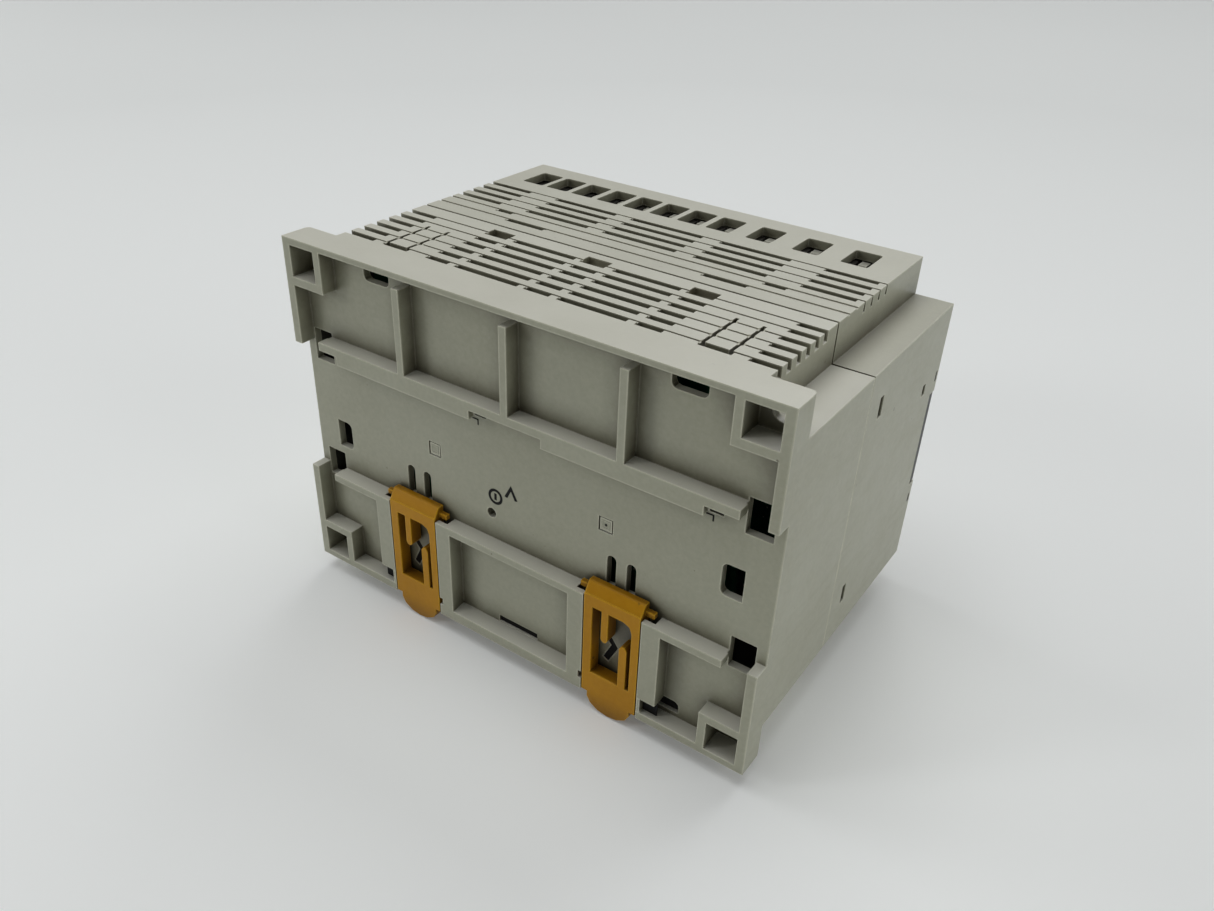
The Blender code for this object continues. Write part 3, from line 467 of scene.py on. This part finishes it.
def softened(node, width):
    """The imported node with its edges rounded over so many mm."""
    bm = clean_copy(node)
    if node in ("rear_case", "front_case"):
        refine_case(bm)
        chamfer_crossings(bm)
    soften(bm, width * MM)
    make_piece(f"{node}_shell", bm, BODY_OF[node], SLOT_OF[node], (node,))


SOFTENED = {
    "rear_case": 0.14, "front_case": 0.14, "din_clip_left": 0.25, "din_clip_right": 0.25,
    "upper_terminal_cover": 0.25, "lower_terminal_cover": 0.25, "port_door": 0.25,
    "front_panel": 0.15, "led_lens": 0.2, "option_cover_1": 0.2, "option_cover_2": 0.2,
    "expansion_cover": 0.2, "upper_terminal_block": 0.2, "lower_terminal_block": 0.2,
    "usb_shell": 0.12, "battery_holder": 0.15, "mode_switch_body": 0.15,
    "mode_switch_slider": 0.15}
for node, width in SOFTENED.items():
    softened(node, width)
for node, obj in frame["nodes"].items():
    if node not in SOFTENED:
        obj.data.materials.clear()
        obj.data.materials.append(LOOKS[SLOT_OF[node]])


# ----------------------------------------------------------- outlines, solids

def band(bm, first, second):
    """The faces between two closed loops with as many points each."""
    count = len(first)
    return [bm.faces.new((first[k], first[n], second[n], second[k]))
            for k, n in zip(range(count), (*range(1, count), 0))]


def extrude(bm, axis, outline, start, end):
    """A prism along u, w or d; the outline gives the other two measures in that order."""
    order = {"u": lambda a, b, c: place(c, a, b), "w": lambda a, b, c: place(a, c, b),
             "d": lambda a, b, c: place(a, b, c)}[axis]
    low = [bm.verts.new(order(a, b, start)) for a, b in outline]
    high = [bm.verts.new(order(a, b, end)) for a, b in outline]
    faces = [bm.faces.new(low), bm.faces.new(high)]
    faces += band(bm, low, high)
    bmesh.ops.recalc_face_normals(bm, faces=faces)


def tube(bm, outer, inner, near, far):
    """A frame between two outlines with as many points each, from depth near to far."""
    loops = [[bm.verts.new(place(a, b, d)) for a, b in line]
             for line, d in ((outer, near), (outer, far), (inner, far), (inner, near))]
    faces = []
    for first, second in zip(loops, loops[1:] + loops[:1]):
        faces += band(bm, first, second)
    bmesh.ops.recalc_face_normals(bm, faces=faces)


def recessed_head(bm, u, w, profile, sides, recess, taper, recess_d):
    """A turned head with a recess in its front.

    The profile lists radius and depth from the back to the front. The recess is an outline
    about the head's middle, narrowed by taper at its floor, which is at depth recess_d.
    """
    rings = [[bm.verts.new(place(a, b, d)) for a, b in circle(u, w, radius, sides)]
             for radius, d in profile]
    faces = [bm.faces.new(rings[0])]
    for first, second in zip(rings, rings[1:]):
        faces += band(bm, first, second)
    front = profile[-1][1]
    mouth = [bm.verts.new(place(u + a, w + b, front)) for a, b in recess]
    floor = [bm.verts.new(place(u + a * taper, w + b * taper, recess_d)) for a, b in recess]
    faces.append(bm.faces.new(floor))
    faces += band(bm, mouth, floor)
    rim = []
    for loop in (rings[-1], mouth):
        rim += [bm.edges.get(ends) for ends in zip(loop, loop[1:] + loop[:1])]
    filled = bmesh.ops.triangle_fill(bm, edges=rim, use_beauty=True, use_dissolve=False)
    faces += [item for item in filled["geom"] if isinstance(item, bmesh.types.BMFace)]
    bmesh.ops.recalc_face_normals(bm, faces=faces)


def circle(cu, cw, radius, sides):
    turn = 2 * math.pi / sides
    return [(cu + radius * math.cos(turn * k), cw + radius * math.sin(turn * k))
            for k in range(sides)]


def square(u, w, low, high):
    """A square that reaches from low to high beyond a corner."""
    return [(u + low, w + low), (u + high, w + low), (u + high, w + high), (u + low, w + high)]


def rounded(u0, u1, w0, w1, radius, steps=4):
    """A rectangle with round corners."""
    outline = []
    for cu, cw, first in ((u1 - radius, w1 - radius, 0), (u0 + radius, w1 - radius, 90),
                          (u0 + radius, w0 + radius, 180), (u1 - radius, w0 + radius, 270)):
        for k in range(steps + 1):
            angle = math.radians(first + 90 * k / steps)
            outline.append((cu + radius * math.cos(angle), cw + radius * math.sin(angle)))
    return outline


def cross(reach, half):
    """A plus sign with arms as long as reach and twice half wide."""
    outline = []
    for c, s in ((1, 0), (0, 1), (-1, 0), (0, -1)):
        for a, b in ((half, -half), (reach, -half), (reach, half)):
            outline.append((a * c - b * s, a * s + b * c))
    return outline


def ridge(start, flank, crest, foot, low, high):
    """The section of a grip ridge: flank, crest and foot are how far on its corners lie."""
    return [(start, low), (start + flank, high), (start + crest, high), (start + foot, low)]


def bar(bm, u0, u1, w0, w1, near, far):
    """A thin plate or ridge with rounded ends."""
    radius = min(u1 - u0, w1 - w0) * 0.3
    extrude(bm, "d", rounded(u0, u1, w0, w1, radius, 3), near, far)


# ---------------------------------------------------------- the back and sides

GATE_MARKS = ((38.7, 44.3), (87.7, 44.0))
LIP_ENDS = (53.4, 113.5)      # where the hook lips end


def rear_print():
    """Plain ink marks on the channel's floor: a ring with a tick and an open chevron."""
    bm = bmesh.new()
    near, far = FLOOR_D - 0.03, FLOOR_D + 0.05
    tube(bm, circle(58.9, 40.4, 2.1, 28), circle(58.9, 40.4, 1.4, 28), near, far)
    extrude(bm, "d", [(58.55, 39.5), (59.25, 39.5), (59.25, 41.3), (58.55, 41.3)], near, far)
    chevron = [(61.6, 41.7), (63.5, 45.2), (65.4, 41.7), (64.6, 41.5), (63.5, 43.7),
               (62.4, 41.5)]
    extrude(bm, "d", chevron, near, far)
    make_piece("rear_print", bm, "module", "part_black")


def gate_stamps():
    """The raised frame inside each square moulding mark, and the pip of the right one."""
    bm = bmesh.new()
    for u, w in GATE_MARKS:
        extrude(bm, "d", square(u, w, 0.28, 3.32), FLOOR_D + 0.16, FLOOR_D + 0.55)
        tube(bm, square(u, w, 0.8, 2.8), square(u, w, 1.0, 2.6), FLOOR_D + 0.1, FLOOR_D + 0.2)
    make_piece("gate_stamps", bm, "module", "housing_grey")
    pip = bmesh.new()
    extrude(pip, "d", circle(89.5, 45.8, 0.28, 10), FLOOR_D + 0.08, FLOOR_D + 0.2)
    make_piece("gate_pip", pip, "module", "part_black")


def shade_plates():
    """Painted shade: black plates set back behind the rims of the flange's openings, where only
    shade shows.
    """
    bm = bmesh.new()
    plates = [(59.4, 70.9, 3.6, 5.2, 4.4), (102.6, 110.9, 3.5, 6.5, 4.9),
              (19.1, 27.4, 3.5, 6.5, 4.9), (103.3, 107.0, 2.25, 6.2, 1.5),
              (23.0, 26.7, 2.25, 6.2, 1.5)]
    plates += [(u + 0.05, u + 3.1, 60.2, 63.1, 4.15) for u in LIP_ENDS]
    plates += [(u - 0.75, u + 1.1, 59.0, 59.35, 3.97) for u in LIP_ENDS]
    plates += [(u + 0.8, u + 1.15, 57.8, 59.35, 3.97) for u in LIP_ENDS]
    for u0, u1, w0, w1, d in plates:
        bevel = min(0.3, (w1 - w0) / 3, (u1 - u0) / 3)
        outline = [(u0, w0), (u1, w0), (u1, w1 - bevel), (u1 - bevel, w1), (u0 + bevel, w1),
                   (u0, w1 - bevel)]
        extrude(bm, "d", outline, d, d + 0.25)
    for centre in (35.35, 94.65):
        detent = [(-3.83, 15.6), (-2.14, 13.6), (-4.2, 9.24), (-2.93, 8.5), (-0.47, 13.5),
                  (-2.7, 16.5)]
        extrude(bm, "d", [(centre + a, b) for a, b in detent], 4.12, 4.4)
    make_piece("shade_plates", bm, "module", "part_black")


def bar_feet():
    """The thin web beside each clip that ties the foot of its bar to the sill."""
    bm = bmesh.new()
    for near, far, toe in ((102.35, 103.2, 103.5), (27.65, 26.8, 26.5)):
        web = [(near, 2.22), (toe, 2.22), (far, 2.7), (far, 6.28), (near, 6.28)]
        extrude(bm, "d", web, 0.03, 3.9)
    make_piece("bar_feet", bm, "module", "housing_grey")


def side_gap_shade():
    """Painted shade: black strips in the gap beside the corner blocks next to the port door."""
    bm = bmesh.new()
    for low, high in ((61.2, 63.9), (26.3, 28.6)):
        outline = [(low, 83.1), (high - 0.4, 83.1), (high, 83.4), (high, 83.9),
                   (low + 0.3, 83.9), (low, 83.7)]
        extrude(bm, "u", outline, 129.6, 130.03)
    make_piece("side_gap_shade", bm, "module", "part_black")


# ---------------------------------------------------------------- wire windows

WINDOWS = (18.0, 25.9, 34.0, 42.2, 50.3, 58.4, 66.5, 74.7, 85.7, 97.9, 110.1)
LOWER_WINDOWS = tuple(19.0 + 13.1 * i for i in range(8))
HEAD_BACK = 66.3         # the depth of the backs of the screw heads
HEAD_PROFILE = ((2.7, HEAD_BACK), (2.7, HEAD_BACK + 1.7), (2.45, HEAD_BACK + 2.1),
                (2.05, HEAD_BACK + 2.3))
CROSS_D = HEAD_BACK + 1.2


def wire_guides():
    """The chamfered tongue that leads a wire in behind each window."""
    bm = bmesh.new()
    for centres, top, sign in ((WINDOWS, 87.5, 1), (LOWER_WINDOWS, 2.5, -1)):
        side = [(top - 2.4 * sign, 79.6), (top - 0.3 * sign, 79.6), (top, 79.0), (top, 76.4),
                (top - 0.5 * sign, 75.9), (top - 1.2 * sign, 76.2), (top - 2.4 * sign, 77.6)]
        for c in centres:
            extrude(bm, "u", side, c - 1.4, c + 0.6)
    make_piece("wire_guides", bm, "module", "housing_grey", sharp=25.0)


def screw_heads(prefix, centres, w):
    """Plated heads with a crossed recess, one for each plain head of the frame."""
    bm = bmesh.new()
    for u in centres:
        recessed_head(bm, u, w, HEAD_PROFILE, 24, cross(1.75, 0.42), 0.8, CROSS_D)
    replaced = [f"{prefix}_{number:02d}" for number in range(1, len(centres) + 1)]
    make_piece(f"{prefix}_heads", bm, "module", "screw_steel", replaced, sharp=35.0)


# ------------------------------------------------------------------- the front

def cover_labels(cover, centres, w0, w1, grip_w):
    """A label strip with blank fields over the terminals, and ridges at the free edge."""
    near, far = 85.08, 85.15
    label = bmesh.new()
    extrude(label, "d", rounded(14.0, 116.0, w0, w1, 0.8), 84.9, 85.12)
    make_piece(f"{cover}_label", label, cover, "knob_white")
    lines = bmesh.new()
    for c in centres:
        bar(lines, c - 0.12, c + 0.12, w0 + 0.5, w1 - 0.5, near, 85.16)
        bar(lines, c - 3.0, c - 1.2, (w0 + w1) / 2 - 0.9, (w0 + w1) / 2 + 0.9, near, far)
    bar(lines, 15.0, 115.0, w0 + 0.35, w0 + 0.6, near, far)
    make_piece(f"{cover}_label_lines", lines, cover, "part_black")
    ridges = bmesh.new()
    for k in range(4):
        section = ridge(grip_w + 1.3 * k, 0.15, 0.45, 0.7, 84.9, 85.35)
        extrude(ridges, "u", section, 55.0, 75.0)
    make_piece(f"{cover}_ridges", ridges, cover, "housing_grey")


def door_details():
    """Finger ridges on the port door, and a plain ring mark with a line under it."""
    ridges = bmesh.new()
    for k in range(5):
        extrude(ridges, "w", ridge(122.0 + 1.4 * k, 0.2, 0.55, 0.8, 84.9, 85.4), 37.0, 53.0)
    make_piece("door_ridges", ridges, "door", "panel_dark")
    ink = bmesh.new()
    near, far = 84.95, 85.07
    tube(ink, circle(112.0, 45.0, 3.0, 32), circle(112.0, 45.0, 2.6, 32), near, far)
    bar(ink, 111.7, 112.3, 45.2, 48.9, near, far)
    bar(ink, 107.0, 117.0, 35.6, 36.0, near, far)
    make_piece("door_mark", ink, "door", "knob_white")


def indicator_windows():
    """Two rows of light windows in the smoked lens, with a printed rule under each."""
    lights, rules = bmesh.new(), bmesh.new()
    for k in range(8):
        u = 33.0 + 8.2 * k
        bar(lights, u, u + 3.0, 53.6, 55.2, 84.0, 84.42)
        if k != 7:
            bar(lights, u, u + 3.0, 50.2, 51.8, 84.0, 84.42)
        bar(rules, u - 0.4, u + 3.4, 52.4, 52.62, 84.2, 84.38)
        bar(rules, u - 0.4, u + 3.4, 49.0, 49.22, 84.2, 84.38)
    make_piece("indicator_windows", lights, "module", "tube_glass")
    make_piece("indicator_rules", rules, "module", "knob_white")


# The trimmers: the body each turns with and its height; both are at the same u.
TRIMMERS = (("trimmer_a", 35.0), ("trimmer_b", 42.0))
TRIMMER_U = 30.5


def panel_print():
    """White ink on the dark panel: ticks round the trimmers and rules by the covers."""
    ink = bmesh.new()
    near, far = 83.85, 83.97
    for _, w in TRIMMERS:
        for k in range(7):
            angle = math.radians(-45 + 45 * k)
            c, s = math.cos(angle), math.sin(angle)
            tick = [(TRIMMER_U + a * c - b * s, w + a * s + b * c)
                    for a, b in ((2.75, -0.12), (3.35, -0.12), (3.35, 0.12), (2.75, 0.12))]
            extrude(ink, "d", tick, near, far)
    for u0, u1, w0, w1 in ((33.0, 34.6, 45.4, 45.75), (66.0, 67.6, 45.4, 45.75),
                           (38.0, 50.0, 45.5, 45.75), (70.0, 82.0, 45.5, 45.75),
                           (5.0, 25.0, 59.4, 59.7), (5.0, 25.0, 30.2, 30.5)):
        bar(ink, u0, u1, w0, w1, near, far)
    make_piece("panel_print", ink, "module", "knob_white")


def cover_arrows():
    """Dark arrows that point to the free edges of the lift-off covers."""
    dark = bmesh.new()
    for u in (51.0, 83.0):
        extrude(dark, "d", [(u - 1.3, 41.9), (u + 1.3, 41.9), (u, 39.9)], 84.4, 84.58)
    extrude(dark, "d", [(13.6, 54.6), (16.4, 54.6), (15.0, 52.4)], 84.7, 84.88)
    make_piece("cover_arrows", dark, "module", "part_black")


def option_grips():
    """Fine ridges at the free edge of both option covers."""
    grips = bmesh.new()
    for u0 in (37.0, 69.0):
        for k in range(3):
            section = ridge(33.2 + 0.42 * k, 0.08, 0.2, 0.28, 84.45, 84.7)
            extrude(grips, "u", section, u0 + 9.0, u0 + 19.0)
    make_piece("option_grips", grips, "module", "housing_grey")


def trimmer_heads():
    """White rotors with a screwdriver slot, one for each plain rotor of the frame."""
    profile = ((2.2, 78.3), (2.2, 83.3), (2.0, 83.65), (1.8, 83.8))
    half, cut = 1.5, 0.3
    slot = [(-cut, -half), (cut, -half), (cut, half), (0, half + 0.2), (-cut, half)]
    for number, (body, w) in enumerate(TRIMMERS, 1):
        bm = bmesh.new()
        recessed_head(bm, TRIMMER_U, w, profile, 24, slot, 1, 82.9)
        make_piece(f"trimmer_head_{number}", bm, body, "knob_white",
                   (f"trimmer_rotor_{number}",), sharp=35.0)


cover_labels("upper_cover", [c + 4.4 for c in WINDOWS[:-1]], 79.5, 86.0, 71.0)
cover_labels("lower_cover", [c + 6.5 for c in LOWER_WINDOWS[:-1]], 4.0, 10.5, 14.0)
door_details()
indicator_windows()
panel_print()
cover_arrows()
option_grips()
trimmer_heads()
rear_print()
gate_stamps()
shade_plates()
bar_feet()
side_gap_shade()
wire_guides()
screw_heads("upper_screw", [c + 0.55 for c in WINDOWS], 81.6)
screw_heads("lower_screw", [c + 1.2 for c in LOWER_WINDOWS], 8.4)


# ----------------------------------------------------------------------- stage

# The pale sheet's rings: radius and height in metres.
SHEET = ((0.6, 0.0), (1.3, 0.0), (1.9, 0.0), (2.1, 0.02), (2.3, 0.09), (2.45, 0.2),
         (2.57, 0.36), (2.64, 0.55), (2.67, 0.8), (2.68, 2.6))
SHEET_SIDES = 72
LIGHTS = (
    ("overhead", (0.2, 0.15, 1.5), (0, 0, 0), (1.0, 1.1), 7.1),
    ("front_above", (0.0, -1.0, 1.2), (0, 0, 0), (1.2, 1.0), 6.9),
    ("left_window", (1.3, 0.1, 0.7), (0, 0, 0.05), (0.8, 0.8), 4.0),
    ("left_behind", (1.05, 1.05, 0.7), (0, 0, 0.05), (0.3, 0.3), 2.7),
    ("right_fill", (-1.3, -0.1, 0.6), (0, 0, 0.05), (0.8, 0.8), 2.8),
)


def pale_sheet():
    """Matt white paper with a painted pool of light, palest near the module and dim at its far
    rim; it also glows faintly.
    """
    g = Graph("pale_sheet")
    tone = g.remap(g.noise(3, 3, 0.5), 0.3, 0.7)
    # Painted light: the sheet is paler round the point below the camera and darker away from
    # it.
    near = g.add("ShaderNodeVectorMath", {0: g.coords, 1: (-0.12, 0.19, 0.0)},
                 operation="DISTANCE").outputs["Value"]
    away = g.remap(near, 0.08, 0.75)
    colour = g.mix(away, (0.92, 0.945, 0.943), (0.69, 0.714, 0.709))
    colour = g.mix(g.math("MULTIPLY", tone, 0.1), colour, (0.75, 0.76, 0.755))
    colour = g.mix(g.remap(near, 1.5, 2.4, smooth=True), colour, (0.16, 0.165, 0.165))
    # Painted light: a faint glow over the whole sheet lifts the shadows on it.
    return g.finish(colour, g.remap(tone, 0, 1, 0.75, 0.85),
                    Emission_Color=(1.0, 1.0, 0.98, 1.0), Emission_Strength=0.10)


def stage_floor():
    """A sheet under the module, curving up far away.

    It is tilted so that the module stands on its clip tips and its front lower edge.
    """
    rise = TAB_DROP / (DEPTH - TIPS_D)
    bm = bmesh.new()
    rings = []
    for radius, height in SHEET:
        ring = []
        for x, y in circle(0, 0, radius, SHEET_SIDES):
            ring.append(bm.verts.new((x, y, height + ((DEPTH / 2 - TIPS_D) * MM - y) * rise)))
        rings.append(ring)
    bm.faces.new(rings[0])
    for first, second in zip(rings, rings[1:]):
        band(bm, first, second)
    bmesh.ops.recalc_face_normals(bm, faces=bm.faces)
    mesh = bpy.data.meshes.new("floor")
    bm.to_mesh(mesh)
    bm.free()
    mesh.shade_smooth()
    floor = bpy.data.objects.new("floor", mesh)
    bpy.context.scene.collection.objects.link(floor)
    floor.data.materials.append(pale_sheet())


def area_light(name, location, target, size, power):
    """A soft rectangular light that faces its target."""
    light = bpy.data.lights.new(name, "AREA")
    light.shape = "RECTANGLE"
    light.size, light.size_y = size
    light.energy = power
    obj = bpy.data.objects.new(name, light)
    obj.location = location
    facing = Vector(target) - Vector(location)
    obj.rotation_euler = facing.to_track_quat("-Z", "Y").to_euler()
    bpy.context.scene.collection.objects.link(obj)


def studio_world():
    """A faint even light from all round, and plain tones."""
    world = bpy.data.worlds.new("studio")
    world.use_nodes = True
    background = world.node_tree.nodes["Background"]
    background.inputs["Color"].default_value = (0.9, 0.95, 1.0, 1.0)
    background.inputs["Strength"].default_value = 0.01
    bpy.context.scene.world = world
    bpy.context.scene.view_settings.view_transform = "Standard"


def stand_camera():
    """The camera, behind the module and above it."""
    lens = bpy.data.cameras.new("camera")
    lens.sensor_width = 36.0
    lens.lens = CAMERA_LENS
    lens.clip_start = 0.01
    camera = bpy.data.objects.new("camera", lens)
    camera.location = CAMERA_PLACE
    camera.rotation_euler = [math.radians(turn) for turn in CAMERA_TURN]
    bpy.context.scene.collection.objects.link(camera)
    bpy.context.scene.camera = camera


stage_floor()
for row in LIGHTS:
    area_light(*row)
studio_world()
stand_camera()
